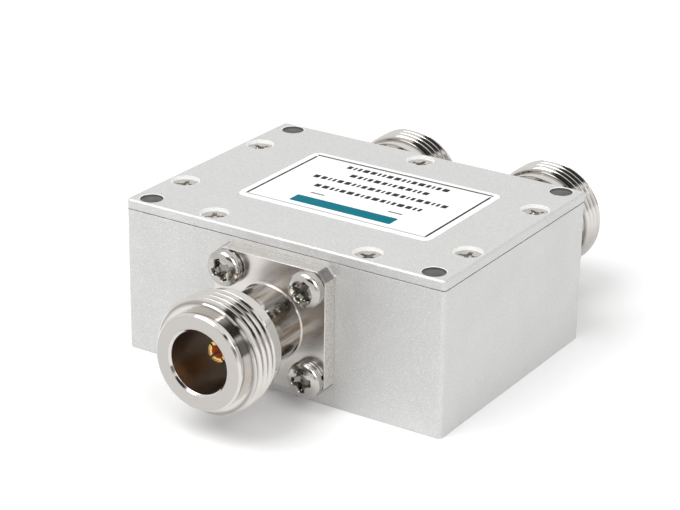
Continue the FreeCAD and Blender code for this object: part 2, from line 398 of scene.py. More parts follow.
class Nodes:
    """A node tree under construction, with short methods for the nodes that it often needs."""

    def __init__(self, tree: bpy.types.NodeTree, coordinates: str) -> None:
        """Start on a tree and take its positions from one kind of texture coordinates."""
        self.tree = tree
        self.position = self.add("TexCoord").outputs[coordinates]

    def give(self, target: Socket, value: Value) -> None:
        """Link a value to a socket, or set a constant on it.

        Args:
            target: The socket.
            value: Another socket or a constant.
        """
        if isinstance(value, Socket):
            self.tree.links.new(value, target)
        else:
            target.default_value = value

    def fill(self, node: bpy.types.Node, **values: Value) -> None:
        """Give a node's inputs values or constants by name; underscores stand for spaces."""
        for name, value in values.items():
            self.give(node.inputs[name.replace("_", " ")], value)

    def add(self, kind: str, **values: Value) -> bpy.types.Node:
        """A new shader node with some of its inputs filled.

        Args:
            kind: Its type, without the word that the types of shader nodes begin with.
            values: Sockets or constants by input name; underscores stand for spaces.

        Returns:
            The node.
        """
        node = self.tree.nodes.new(f"ShaderNode{kind}")
        self.fill(node, **values)
        return node

    def operate(self, kind: str, operation: str, values: Iterable[Value]) -> Socket:
        """A node that does one operation on its inputs and gives a number.

        Args:
            kind: Its type.
            operation: The operation.
            values: Sockets or constants for its inputs, in order.

        Returns:
            The result.
        """
        node = self.add(kind)
        node.operation = operation
        for socket, value in zip(node.inputs, values):
            self.give(socket, value)
        return node.outputs["Value"]

    def math(self, operation: str, *values: Value) -> Socket:
        """Arithmetic on sockets or numbers."""
        return self.operate("Math", operation, values)

    def measure(self, operation: str, *values: Value) -> Socket:
        """Vector arithmetic on the position, and on one more vector where it takes two."""
        return self.operate("VectorMath", operation, (self.position, *values))

    def product(self, first: Value, *others: Value) -> Value:
        """Product of several sockets or numbers.

        Args:
            first: A socket or a number.
            others: More of them.

        Returns:
            The product.
        """
        for other in others:
            first = self.math("MULTIPLY", first, other)
        return first

    def distance(self, x: Socket, y: Socket, centre: Pair) -> Socket:
        """Distance in a plane from the point (x, y) to a centre."""
        sides = [self.math("SUBTRACT", value, place) for value, place in zip((x, y), centre)]
        return self.math("SQRT", self.math("ADD", *[self.product(side, side) for side in sides]))

    def mapped(self, value: Socket, source: Pair, result: Pair, smooth: bool = False) -> Socket:
        """Map a value from one range to another and hold it at both ends.

        Args:
            value: The value to map.
            source: Start and end of the incoming range.
            result: Results at its start and its end.
            smooth: Whether the change between them is a smooth step.

        Returns:
            The result.
        """
        node = self.add("MapRange", Value=value, From_Min=source[0], From_Max=source[1],
                        To_Min=result[0], To_Max=result[1])
        node.interpolation_type = "SMOOTHSTEP" if smooth else "LINEAR"
        return node.outputs["Result"]

    def window(self, value: Socket, edge: Pair) -> Socket:
        """Smooth step from 0 at the edge's first number to 1 at its second, which may be the lower."""
        result = (0.0, 1.0) if edge[0] < edge[1] else (1.0, 0.0)
        return self.mapped(value, (min(edge), max(edge)), result, smooth=True)

    def blend(self, share: Socket, first: Value, second: Value,
              kind: Mixed = Mixed.COLOURS) -> Socket:
        """Mix two colours or numbers.

        Args:
            share: Share of the second one.
            first: A socket, a colour or a number.
            second: A socket, a colour or a number.
            kind: What they are.

        Returns:
            The mixed value.
        """
        node = self.add("Mix")
        node.data_type = kind.value
        sockets = [socket for socket in node.inputs if socket.enabled]
        for socket, value in zip((sockets[0], *sockets[-2:]), (share, first, second)):
            self.give(socket, (*value, 1.0) if isinstance(value, tuple) else value)
        return next(socket for socket in node.outputs if socket.enabled)


class Shade(Nodes):
    """A material under construction."""

    def __init__(self, name: str) -> None:
        """Start a material with a surface shader.

        Args:
            name: The material's name.
        """
        self.material = bpy.data.materials.new(name)
        self.material.use_nodes = True
        super().__init__(self.material.node_tree, "Object")
        self.surface = self.tree.nodes["Principled BSDF"]

    def set(self, **values: Value) -> None:
        """Give the surface shader values or constants by name; underscores stand for spaces."""
        self.fill(self.surface, **values)

    def millimetres(self) -> list[Socket]:
        """The position along X, Y and Z in millimetres."""
        split = self.add("SeparateXYZ", Vector=self.position)
        return [self.math("DIVIDE", split.outputs[axis], METRES) for axis in "XYZ"]

    def tone(self) -> Socket:
        """The tone that the piece holds for each of its points.

        Returns:
            The tone, from 0 to 1.
        """
        node = self.add("Attribute")
        node.attribute_name = "tone"
        return node.outputs["Fac"]

    def noise(self, kind: Noise, at: Optional[Socket] = None) -> Socket:
        """Noise over a vector.

        Args:
            kind: Its settings.
            at: The vector, or None for the position in object space.

        Returns:
            The noise value.
        """
        mapping = self.add("Mapping", Vector=self.position if at is None else at, Scale=kind.stretch)
        return self.add("TexNoise", Vector=mapping.outputs["Vector"], Scale=kind.scale,
                        Detail=kind.detail, Roughness=kind.roughness).outputs["Fac"]

    def ramp(self, value: Socket, stops: Iterable[tuple[float, Colour]]) -> Socket:
        """Colour ramp over a value.

        Args:
            value: The value.
            stops: Rows of (place, colour).

        Returns:
            The colour.
        """
        stops = list(stops)
        node = self.add("ValToRGB", Fac=value)
        elements = node.color_ramp.elements
        while len(elements) < len(stops):
            elements.new(0.5)
        for element, (place, colour) in zip(elements, stops):
            element.position = place
            element.color = (*colour, 1.0)
        return node.outputs["Color"]

    def mottled(self, noise: Socket, colour: Colour, factors: Sequence[float]) -> Socket:
        """A colour that a noise makes darker or lighter.

        Args:
            noise: The noise.
            colour: The colour.
            factors: Brightness at even steps over the noise's range, from its low end.

        Returns:
            The colour.
        """
        places = np.linspace(*NOISE_RANGE, len(factors))
        return self.ramp(noise, zip(places, (tinted(colour, factor) for factor in factors)))

    def bump(self, height: Socket, dent: Dent, below: Optional[Socket] = None) -> Socket:
        """Bump from a height value.

        Args:
            height: Height between 0 and 1.
            dent: Its settings.
            below: Normal of a coarser bump that this one rides on.

        Returns:
            The normal.
        """
        node = self.add("Bump", Height=height, Distance=dent.depth, Strength=dent.strength)
        if below is not None:
            self.fill(node, Normal=below)
        return node.outputs["Normal"]


# Finishes

# In a finish, a pair named for an edge is the start and the end of a smooth step, in the
# millimetres or the noise values that it is read from. A factor is a share of the main colour.


@dataclass(frozen=True)
class BlastedAlloy:
    """Bead-blasted aluminium: soft grey metal with an even grain and fine bright specks that are painted
    glints.

    A dark line, broken here and there, marks the joint between the housing and the cover. The cover
    screws' seats and the rims of the corner holes are cut after blasting, and their bright reflection
    is a painted highlight in white. The corner holes have painted shade inside, darkest at the top.
    """

    colour: Colour = (0.655, 0.655, 0.649)
    grain_factors: tuple[float, ...] = (0.90, 1.0, 1.08)
    dent: Dent = Dent(0.00003, 0.35)
    patch: Noise = Noise(210.0)
    patch_range: Pair = (0.35, 0.65)
    roughness: Pair = (0.56, 0.64)
    speck: Noise = Noise(7600.0, 1.0)
    speck_edge: Pair = (0.655, 0.72)
    painted_glint_colour: Colour = (0.88, 0.88, 0.88)
    joint_height: float = 20.6
    joint_edge: Pair = (0.077, 0.033)
    joint_factor: float = 0.16
    joint_breaks: Noise = Noise(900.0, 4.0, 0.7)
    break_edge: Pair = (0.36, 0.54)
    break_share: Pair = (0.60, 1.0)
    cut_highlight_colour: Colour = (1.0, 1.0, 0.99)
    seat_low: float = 21.45
    seat_radius: float = 1.99
    hole_at: Pair = (22.2, 17.0)
    hole_radius: float = 1.63
    hole_top: float = 21.94
    hole_edge: Pair = (21.45, 21.80)
    hole_deep_shade_factor: float = 0.92
    hole_top_shade_factor: float = 0.42
    rim_radius: float = 1.67

    def material(self) -> Material:
        """Build the material.

        Returns:
            The material.
        """
        shade = Shade("blasted_alloy")
        x, y, height = shade.millimetres()
        grain = shade.noise(GRAIN)
        colour = shade.mottled(grain, self.colour, self.grain_factors)
        # Painted glints: where the speck noise is high, the colour is lightened to bright specks.
        painted_glints = shade.window(shade.noise(self.speck), self.speck_edge)
        colour = shade.blend(painted_glints, colour, self.painted_glint_colour)
        away = shade.math("ABSOLUTE", shade.math("SUBTRACT", height, self.joint_height))
        share = shade.mapped(shade.noise(self.joint_breaks), self.break_edge, self.break_share,
                             smooth=True)
        colour = shade.blend(shade.product(shade.window(away, self.joint_edge), share), colour,
                             tinted(self.colour, self.joint_factor))
        across, along = shade.math("ABSOLUTE", x), shade.math("ABSOLUTE", y)
        from_hole = shade.distance(across, along, self.hole_at)
        # Painted shade inside the corner holes: darkest at the top, lighter deeper down.
        hole = shade.product(shade.math("LESS_THAN", height, self.hole_top),
                             shade.math("LESS_THAN", from_hole, self.hole_radius))
        inside = shade.blend(shade.window(height, self.hole_edge),
                             tinted(self.colour, self.hole_deep_shade_factor),
                             tinted(self.colour, self.hole_top_shade_factor))
        rim = shade.product(shade.math("GREATER_THAN", height, self.hole_top),
                            shade.math("LESS_THAN", from_hole, self.rim_radius))
        # Painted highlight: seats and hole rims get a white non-metal colour in place of their bright
        # reflection.
        cut = shade.math("MAXIMUM", self.seats(shade, x, y, height), rim)
        colour = shade.blend(cut, shade.blend(hole, colour, inside), self.cut_highlight_colour)
        shade.set(Base_Color=colour, Metallic=shade.math("SUBTRACT", 1.0, cut),
                  Roughness=shade.mapped(shade.noise(self.patch), self.patch_range, self.roughness),
                  Normal=shade.bump(grain, self.dent))
        return shade.material

    def seats(self, shade: Shade, x: Socket, y: Socket, height: Socket) -> Socket:
        """Where the cover screws' seats are cut, which carry the painted highlight.

        Args:
            shade: The material under construction.
            x: Position along X in millimetres.
            y: Position along Y.
            height: Position along Z.

        Returns:
            1 on a seat and 0 elsewhere.
        """
        screws = CoverScrews()
        across, along = shade.math("ABSOLUTE", x), shade.math("ABSOLUTE", y)
        side = shade.distance(across, along, (screws.side_x, screws.side_y))
        front = shade.distance(across, y, (screws.front_x, -screws.end_y))
        rear = shade.distance(x, y, (0.0, screws.end_y))
        nearest = shade.math("MINIMUM", side, shade.math("MINIMUM", front, rear))
        return shade.product(shade.math("LESS_THAN", nearest, self.seat_radius),
                             shade.math("GREATER_THAN", height, self.seat_low))


@dataclass(frozen=True)
class PolishedNickel:
    """Bright nickel plate over turned brass: faint rings, a satin front face and a bore darkened with
    painted shade.

    The hub has painted reflection streaks, dark brown and lighter bands along it. The flange's sides
    are sanded, its cut corners carry a painted dark reflection, and a painted highlight runs along the
    lip at their back. Radii are from the jack's axis and reaches from its mounting face, and the
    rings' scale is per millimetre.
    """

    place: JackPlace
    colour: Colour = (0.66, 0.635, 0.605)
    cloud: Noise = Noise(420.0)
    cloud_factors: Pair = (0.96, 1.03)
    roughness: Pair = (0.06, 0.10)
    rings: Noise = Noise(6.0, 2.0)
    ring_dent: Dent = Dent(0.0000018, 0.7)
    root_shade_colour: Colour = (0.20, 0.185, 0.17)
    bore_shade_colour: Colour = (0.38, 0.31, 0.26)
    bore_roughness: float = 0.30
    bore_radius_edge: Pair = (4.34, 4.28)
    bore_reach_edge: Pair = (17.66, 17.5)
    face_edge: Pair = (17.93, 17.99)
    face_factor: float = 0.78
    face_roughness: float = 0.34
    hub_radius_edge: Pair = (5.475, 5.275)
    hub_start_edge: Pair = (2.5, 2.6)
    hub_end_edge: Pair = (9.75, 9.65)
    hub_streak: Noise = Noise(520.0, 3.0, 0.65, (1.0, 0.10, 1.0))
    hub_dark_reflection: Colour = (0.20, 0.155, 0.115)
    hub_stops: tuple[float, float, float] = (0.38, 0.52, 0.62)
    hub_factors: Pair = (0.70, 1.05)
    flange_edge: Pair = (2.40, 2.32)
    flange_roughness: float = 0.24
    side_edge: Pair = (8.63, 8.71)
    side_factors: Pair = (0.78, 1.32)
    side_roughness: float = 0.46
    corner_edge: Pair = (16.17, 16.29)
    corner_dark_reflection_factor: float = 0.44
    lip_edge: Pair = (0.24, 0.14)
    lip_highlight_colour: Colour = (0.95, 0.94, 0.93)

    def hub_reflection_colour(self, shade: Shade) -> Socket:
        """Painted reflection streaks, dark brown and lighter, that run along the hub.

        Args:
            shade: The material under construction.

        Returns:
            The colour.
        """
        colours = (self.hub_dark_reflection, *(tinted(self.colour, factor) for factor in self.hub_factors))
        return shade.ramp(shade.noise(self.hub_streak), zip(self.hub_stops, colours))

    def material(self) -> Material:
        """Build the material.

        Returns:
            The material.
        """
        shade = Shade(f"polished_nickel_{self.place.name}")
        x, y, z = shade.millimetres()
        axis = (self.place.offset, self.place.axis_height)
        radius = shade.distance(x, z, axis)
        reach = shade.math("SUBTRACT", shade.math("MULTIPLY", y, self.place.facing), self.place.face)
        across, upward = (shade.math("ABSOLUTE", shade.math("SUBTRACT", value, middle))
                          for value, middle in zip((x, z), axis))
        # Painted shade: the bore inside is darkened to the bore's shade colour.
        inside = shade.product(shade.window(radius, self.bore_radius_edge),
                               shade.window(reach, self.bore_reach_edge))
        face = shade.window(reach, self.face_edge)
        # Painted reflection streaks on the hub.
        hub = shade.product(shade.window(radius, self.hub_radius_edge),
                            shade.window(reach, self.hub_start_edge),
                            shade.window(reach, self.hub_end_edge))
        flange = shade.window(reach, self.flange_edge)
        side = shade.product(flange, shade.window(shade.math("MAXIMUM", across, upward),
                                                  self.side_edge))
        # Painted dark reflection on the cut corners, and a painted highlight on the lip at their back.
        corner = shade.product(flange, shade.window(shade.math("ADD", across, upward),
                                                    self.corner_edge))
        lip = shade.product(corner, shade.window(reach, self.lip_edge))
        sanded = shade.mottled(shade.noise(GRAIN), self.colour, self.side_factors)
        colour = shade.mottled(shade.noise(self.cloud), self.colour, self.cloud_factors)
        # Painted shade: the tone darkens the thread's roots to the root shade colour.
        for share, other in ((shade.tone(), self.root_shade_colour),
                             (face, tinted(self.colour, self.face_factor)),
                             (hub, self.hub_reflection_colour(shade)), (side, sanded),
                             (corner, tinted(self.colour, self.corner_dark_reflection_factor)),
                             (lip, self.lip_highlight_colour), (inside, self.bore_shade_colour)):
            colour = shade.blend(share, colour, other)
        rings = shade.noise(self.rings, shade.add("CombineXYZ", X=radius, Y=reach).outputs["Vector"])
        rough = shade.mapped(rings, NOISE_RANGE, self.roughness)
        for share, value in ((flange, self.flange_roughness), (side, self.side_roughness),
                             (face, self.face_roughness), (inside, self.bore_roughness)):
            rough = shade.blend(share, rough, value, Mixed.NUMBERS)
        shade.set(Base_Color=colour, Roughness=rough, Metallic=1.0,
                  Normal=shade.bump(rings, self.ring_dent))
        return shade.material


@dataclass(frozen=True)
class GoldPlate:
    """Thin gold plate over a spring contact, with a painted reddish bounce light and less metal inside
    (tone 1).
    """

    colour: Colour = (0.86, 0.60, 0.24)
    inner_bounce_colour: Colour = (1.0, 0.36, 0.10)
    cloud: Noise = Noise(1500.0, roughness=0.6)
    factors: Pair = (0.86, 1.05)
    roughness: Pair = (0.16, 0.30)
    metal: Pair = (1.0, 0.35)
    dent: Dent = Dent(0.000003)

    def material(self) -> Material:
        """Build the material.

        Returns:
            The material.
        """
        shade = Shade("gold_plate")
        cloud = shade.noise(self.cloud)
        tone = shade.tone()
        shade.set(Base_Color=shade.blend(tone, shade.mottled(cloud, self.colour, self.factors),
                                         self.inner_bounce_colour),
                  Roughness=shade.mapped(cloud, NOISE_RANGE, self.roughness),
                  Metallic=shade.mapped(tone, (0.0, 1.0), self.metal),
                  Normal=shade.bump(cloud, self.dent))
        return shade.material


@dataclass(frozen=True)
class PolishedSteel:
    """Bright steel of the screws, with light marks from plating and driving, and painted light and shade
    in the cross recess.
    """

    name: str = "polished_steel"
    colour: Colour = (0.50, 0.485, 0.46)
    painted_recess_colour: Colour = (0.27, 0.255, 0.23)
    roughness: Pair = (0.08, 0.20)
    dent: Dent = Dent(0.000016)
    fine_dent: Dent = Dent(0.0000048, 0.4)
    marks: Noise = Noise(900.0, 4.0, 0.6)
    fine_marks: Noise = Noise(5200.0, 2.0)
    factors: Pair = (0.90, 1.06)

    def material(self) -> Material:
        """Build the material.

        Returns:
            The material.
        """
        shade = Shade(self.name)
        marks = shade.noise(self.marks)
        colour = shade.mottled(marks, self.colour, self.factors)
        coarse = shade.bump(marks, self.dent)
        fine = shade.bump(shade.noise(self.fine_marks), self.fine_dent, coarse)
        # The tone paints the recess colour into the cross recess: painted shade on the pan heads, painted
        # light on the cover screws' recess walls.
        shade.set(Base_Color=shade.blend(shade.tone(), colour, self.painted_recess_colour), Normal=fine,
                  Roughness=shade.mapped(marks, NOISE_RANGE, self.roughness), Metallic=1.0)
        return shade.material


@dataclass(frozen=True)
class PlainSolid:
    """A non-metal with a slightly uneven colour and a fine surface."""

    name: str
    colour: Colour
    roughness: Pair = (0.35, 0.5)
    grain: Noise = Noise(2400.0, roughness=0.55)
    spread: float = 0.06
    dent: Dent = Dent(0.000004)
    shine: float = 0.5

    def material(self) -> Material:
        """Build the material.

        Returns:
            The material.
        """
        shade = Shade(self.name)
        grain = shade.noise(self.grain)
        shade.set(Base_Color=shade.mottled(grain, self.colour, (1.0 - self.spread, 1.0 + self.spread)),
                  Roughness=shade.mapped(grain, NOISE_RANGE, self.roughness),
                  Normal=shade.bump(grain, self.dent), Specular_IOR_Level=self.shine)
        return shade.material


class Ink(Enum):
    """Inks of the label's print, by colour."""

    BLACK = ("ink_black", (0.030, 0.030, 0.032))
    GREY = ("ink_grey", (0.46, 0.46, 0.46))
    TEAL = ("ink_teal", (0.0005, 0.155, 0.205))

    def material(self) -> Material:
        """Build the ink's material."""
        name, colour = self.value
        return PlainSolid(name, colour, roughness=(0.55, 0.65), grain=Noise(6000.0, roughness=0.55),
                          spread=0.10, dent=Dent(0.000001), shine=0.06).material()


# Jacks


@dataclass
class Flange:
    """Square mounting flange of a jack with cut corners and four screw holes."""

    side: float = 17.5
    thickness: float = 2.3
    corner_cut: float = 1.15
    hole_spacing: float = 12.7
    hole_radius: float = 1.4
    back_bevel: float = 0.05
    edge: float = 0.10
    edge_points: int = 5
    margin: float = 0.05
    circle_points: int = 48

    def outline(self, inset: float) -> np.ndarray:
        """Corners of the cut square, drawn in by a distance on all sides.

        Args:
            inset: Distance from the real outline.

        Returns:
            Rows of (x, y), anticlockwise, with the first repeated.
        """
        half = self.side / 2 - inset
        cut = self.side / 2 - self.corner_cut - inset * (math.sqrt(2) - 1)
        corners = np.array([[half, -cut], [half, cut], [cut, half], [-cut, half],
                            [-half, cut], [-half, -cut], [-cut, -half], [cut, -half]])
        return np.vstack([corners, corners[:1]])

    def hole_centres(self) -> np.ndarray:
        """Centres of the four screw holes."""
        half = self.hole_spacing / 2
        return np.array([[-half, -half], [half, -half], [half, half], [-half, half]])

    def rim(self) -> Surface:
        """The flange's outer walls with a small rounded edge towards the front.

        Returns:
            The walls.
        """
        arc = quarter_circle(self.edge_points)
        insets = np.concatenate([[self.back_bevel, 0.0, 0.0], self.edge * (1 - np.cos(arc)),
                                 [self.edge + self.margin]])
        heights = np.concatenate([[0.0, self.back_bevel, self.thickness - self.edge - self.margin],
                                  self.thickness - self.edge + self.edge * np.sin(arc),
                                  [self.thickness]])
        rings = np.stack([self.outline(inset) for inset in insets])
        return grid(rings[..., 0], rings[..., 1], heights[:, None])

    def holes(self) -> Surface:
        """Walls of the screw holes.

        Returns:
            The four walls.
        """
        profile = np.array([[self.hole_radius, 0.0], [self.hole_radius, self.thickness]])
        wall = revolved(profile, full_circle(self.circle_points))
        return joined(wall.shifted(x, y, 0.0) for x, y in self.hole_centres())

    def face(self, height: float, inset: float, middle: float, middle_points: int) -> Surface:
        """Flat face between the outline, the screw holes and a circle in the middle.

        Args:
            height: Height of the face.
            inset: How far the outline is drawn in.
            middle: Radius of the circle.
            middle_points: Points on that circle.

        Returns:
            The face, in triangles.
        """
        hole = circle(self.hole_radius, self.circle_points)
        loops = [self.outline(inset)[:-1], circle(middle, middle_points)]
        loops += [hole + place for place in self.hole_centres()]
        work = bmesh.new()
        for loop in loops:
            verts = [work.verts.new((x, y, height)) for x, y in loop]
            for one, other in zip(verts, verts[1:] + verts[:1]):
                work.edges.new((one, other))
        bmesh.ops.triangle_fill(work, edges=work.edges, use_beauty=True)
        work.verts.index_update()
        points = np.array([vert.co for vert in work.verts])
        corners = np.array([[vert.index for vert in triangle.verts] for triangle in work.faces])
        work.free()
        return Surface(points, np.hstack([corners, np.full((len(corners), 1), -1)]))


@dataclass
class Thread:
    """Right-hand unified thread, cut between two reaches and chamfered at both ends."""

    start: float = 11.75
    end: float = 16.3
    major: float = 7.925
    minor: float = 7.28
    pitch: float = 1.0583
    crest_at: float = 15.088
    start_chamfer: float = 0.42
    end_chamfer: float = 0.55
    segments: int = 240
    root_gain: float = 1.6
    root_limit: float = 0.6
    knots: tuple[float, ...] = (0.0, 0.05, 0.075, 0.11, 0.19, 0.27, 0.35, 0.40, 0.44,
                                0.5, 0.56, 0.60, 0.65, 0.73, 0.81, 0.89, 0.925, 0.95)
    depths: tuple[float, ...] = (0.0, 0.0, 0.045, 0.14, 0.36, 0.58, 0.80, 0.93, 0.985,
                                 1.0, 0.985, 0.93, 0.80, 0.58, 0.36, 0.14, 0.045, 0.0)

    def radius(self, reach: np.ndarray, angle: np.ndarray) -> np.ndarray:
        """Radius of the threaded surface.

        The phase is the distance to a crest along the axis, in pitches, less the share of a turn.
        The radius falls from the major to the minor one by the depth at that phase, and a cone at
        each end limits it.

        Args:
            reach: Distance from the mounting face.
            angle: Angle round the axis.

        Returns:
            The radius.
        """
        phase = (reach - self.crest_at) / self.pitch - angle / TURN
        depth = np.interp(phase % 1.0, self.knots, self.depths, period=1.0)
        cut = self.major - depth * (self.major - self.minor)
        near = self.major - np.clip(self.start_chamfer - (reach - self.start), 0.0, None)
        far = self.major - np.clip(self.end_chamfer - (self.end - reach), 0.0, None)
        return np.minimum(cut, np.minimum(near, far))

    def surface(self) -> Surface:
        """The thread on a grid whose rows follow the helix, so that each crest is a row.

        With d for the share of the depth, the tone is root gain x d - root limit, from 0 to 1.

        Returns:
            The threaded surface.
        """
        angles = full_circle(self.segments)
        first = math.floor((self.start - self.crest_at) / self.pitch) - 1
        last = math.ceil((self.end - self.crest_at) / self.pitch)
        turns = np.arange(first, last + 1)
        rows = self.crest_at + self.pitch * (turns[:, None] + np.array(self.knots)).ravel()
        reach = np.clip(rows[:, None] + self.pitch * angles / TURN, self.start, self.end)
        radius = self.radius(reach, angles + 0.0 * reach)
        surface = grid(*polar(radius, angles), reach)
        sunk = np.clip((self.major - radius) / (self.major - self.minor), 0.0, 1.0)
        # The tone paints shade into the thread's roots.
        surface.tone = np.clip(self.root_gain * sunk - self.root_limit, 0.0, 1.0).ravel()
        return surface

    def end_face(self, reach: float, inner: float, rings: int = 3) -> Surface:
        """Flat ring between a circle and the thread's own edge.

        Args:
            reach: Distance from the mounting face.
            inner: Radius of the circle.
            rings: Rings of points.

        Returns:
            The ring.
        """
        angles = full_circle(self.segments)
        outer = self.radius(np.full_like(angles, reach), angles)
        radius = inner + np.linspace(0.0, 1.0, rings)[:, None] * (outer - inner)
        return grid(*polar(radius, angles), reach + 0.0 * radius)


@dataclass
class JackShell:
    """One-piece jack body: flange, hub, relief, thread, pilot, mouth and bore."""

    place: JackPlace
    flange: Flange = field(default_factory=Flange)
    thread: Thread = field(default_factory=Thread)
    hub: float = 5.175
    foot: float = 0.28
    relief: float = 7.25
    relief_reach: float = 9.85
    relief_root: float = 0.06
    relief_edge: float = 0.15
    pilot: float = 6.6
    pilot_chamfer: float = 0.3
    reach: float = 18.0
    mouth: float = 4.6
    mouth_depth: float = 0.3
    bore: float = 4.25
    bore_depth: float = 9.1
    seat: float = 3.53
    seat_root: float = 0.03
    step_reach: float = 3.5
    neck: float = 2.13
    edge: float = 0.05
    sharp: float = math.radians(28.0)

    def hub_foot(self) -> float:
        """Radius where the rounded foot of the hub meets the flange's face."""
        return self.hub + self.foot + self.flange.margin

    def back_profile(self) -> np.ndarray:
        """Outside from the flange's face to the start of the thread."""
        face = self.flange.thickness
        return softened([(self.hub_foot(), face, 0.0), (self.hub, face, self.foot),
                         (self.hub, self.relief_reach, self.relief_root),
                         (self.relief, self.relief_reach, self.relief_edge),
                         (self.relief, self.thread.start, 0.0)])

    def front_profile(self) -> np.ndarray:
        """Outside and inside from the end of the thread, round the mouth, to the back of the neck.

        Returns:
            Rows of (radius, height).
        """
        edge = self.edge
        bottom = self.reach - self.bore_depth
        return softened([(self.pilot, self.thread.end, 0.0),
                         (self.pilot, self.reach - self.pilot_chamfer, edge),
                         (self.pilot - self.pilot_chamfer, self.reach, edge),
                         (self.mouth, self.reach, edge), (self.bore, self.reach - self.mouth_depth, edge),
                         (self.bore, bottom, edge), (self.seat, bottom, edge),
                         (self.seat, self.step_reach, self.seat_root),
                         (self.neck, self.step_reach, edge), (self.neck, 0.0, 0.0)])

    def build(self) -> bpy.types.Object:
        """Make the jack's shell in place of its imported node.

        Returns:
            The piece.
        """
        flange, thread = self.flange, self.thread
        angles = full_circle(thread.segments)
        patches = [flange.rim(), flange.holes(),
                   flange.face(flange.thickness, flange.edge + flange.margin, self.hub_foot(),
                               thread.segments),
                   flange.face(0.0, flange.back_bevel, self.neck, thread.segments),
                   revolved(self.back_profile(), angles), thread.surface(),
                   thread.end_face(thread.start, self.relief), thread.end_face(thread.end, self.pilot),
                   revolved(self.front_profile(), angles)]
        piece = make_piece(f"{self.place.name}_threaded_jack", self.place.place(joined(patches)),
                           PolishedNickel(self.place).material(), self.sharp)
        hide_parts(f"{self.place.name}_jack_shell")
        return piece


@dataclass
class CentreContact:
    """Gold-plated socket contact with four spring fingers and a thin tail."""

    place: JackPlace
    radius: float = 1.52
    tip: float = 13.8
    shoulder: float = 4.5
    bore: float = 0.82
    bore_depth: float = 5.0
    slot: float = 0.3
    slot_depth: float = 4.0
    tail: float = 0.65
    tail_end: float = -7.5
    tail_edge: float = 0.12
    shoulder_root: float = 0.02
    shoulder_edge: float = 0.08
    rounding: float = 0.2
    overlap: float = 0.05
    segments: int = 72
    finger_columns: int = 15

    def base(self) -> Surface:
        """Tail, shoulder and the unslotted part of the socket.

        Returns:
            The surface, open where the fingers begin.
        """
        bottom = self.tip - self.bore_depth
        root = self.tip - self.slot_depth
        profile = softened([(0.0, self.tail_end, 0.0), (self.tail, self.tail_end, self.tail_edge),
                            (self.tail, self.shoulder, self.shoulder_root),
                            (self.radius, self.shoulder, self.shoulder_edge),
                            (self.radius, root, 0.0), (self.bore, root, 0.0),
                            (self.bore, bottom, 0.0), (0.0, bottom, 0.0)])
        surface = revolved(profile, full_circle(self.segments))
        x, y, z = surface.points.T
        # Tone 1 inside the bore carries the gold's painted bounce light.
        inside = (np.hypot(x, y) < self.bore + NEAR) & (z > bottom - NEAR)
        surface.tone = inside.astype(float)
        return surface

    def finger(self, turn: float) -> Surface:
        """One spring finger between two slots.

        Its section is a rounded bar, and at radius r it spans the angle turn +/- (45 degrees less
        the arcsine of half the slot's width over r), so that the slots have parallel sides.

        Args:
            turn: Angle of the finger's middle.

        Returns:
            The closed finger.
        """
        root = self.tip - self.slot_depth - self.overlap
        section = softened([(self.bore, root, 0.0), (self.bore, self.tip, self.rounding),
                            (self.radius, self.tip, self.rounding), (self.radius, root, 0.0)])
        section = np.vstack([section, section[:1]])
        radius, reach = section[:, :1], section[:, 1:2]
        half = TURN / 8 - np.arcsin(self.slot / 2 / radius)
        angle = turn + half * np.linspace(-1.0, 1.0, self.finger_columns)
        walls = grid(*polar(radius, angle), reach + 0.0 * angle)
        # Tone 1 on the inner walls carries the gold's painted bounce light.
        walls.tone = np.repeat(np.abs(radius - self.bore) < NEAR, self.finger_columns).astype(float)
        patches = [walls]
        for column in (0, -1):
            x, y = polar(radius[:, 0], angle[:, column])
            border = np.stack([x, y, reach[:, 0]])[:, None, :]
            middle = border.mean(axis=2, keepdims=True)
            patches.append(grid(*(border + np.array([[0.0], [1.0]]) * (middle - border))))
        return joined(patches)

    def build(self) -> bpy.types.Object:
        """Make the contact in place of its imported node.

        Returns:
            The piece.
        """
        fingers = [self.finger(quarter * TURN / 4) for quarter in range(4)]
        surface = self.place.place(joined([self.base()] + fingers))
        piece = make_piece(f"{self.place.name}_socket_contact", surface, GoldPlate().material())
        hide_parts(f"{self.place.name}_centre_contact")
        return piece


# Screws


@dataclass(frozen=True)
class CrossRecess:
    """Cross-shaped drive recess of a screw head.

    The span runs from the end of one arm to the end of the opposite one, the core is a radius, the
    wall is the distance over which a side falls, the taper is the share of its width that an arm
    loses towards its end, and the rise is the share of its depth.
    """

    arm: float
    span: float
    depth: float
    core: float
    wall: float
    taper: float = 0.18
    rise: float = 0.45

    def fall(self, inside: np.ndarray) -> np.ndarray:
        """Smooth step over the wall, by the distance inside the recess."""
        share = np.clip(inside / self.wall + 0.5, 0.0, 1.0)
        return share * share * (3.0 - 2.0 * share)

    def one_arm(self, along: np.ndarray, across: np.ndarray) -> np.ndarray:
        """Share of the depth that two opposite arms give.

        Args:
            along: Positions along the arms.
            across: Positions across them.

        Returns:
            The share, deepest in the middle.
        """
        reach = np.clip(np.abs(along) / (self.span / 2), 0.0, 1.0)
        floor = 1.0 - self.rise * reach ** 2
        half_width = self.arm / 2 * (1.0 - self.taper * reach)
        return floor * self.fall(half_width - np.abs(across)) * self.fall(self.span / 2 - np.abs(along))

    def share(self, x: np.ndarray, y: np.ndarray) -> np.ndarray:
        """Share of the recess's full depth at each point, from 0 outside to 1 in the middle.

        It is the largest of two crossed pairs of arms and a round core.

        Args:
            x: Positions across the head.
            y: Positions across the head.

        Returns:
            The share.
        """
        core = self.fall(self.core - np.hypot(x, y))
        return np.maximum(np.maximum(self.one_arm(x, y), self.one_arm(y, x)), core)


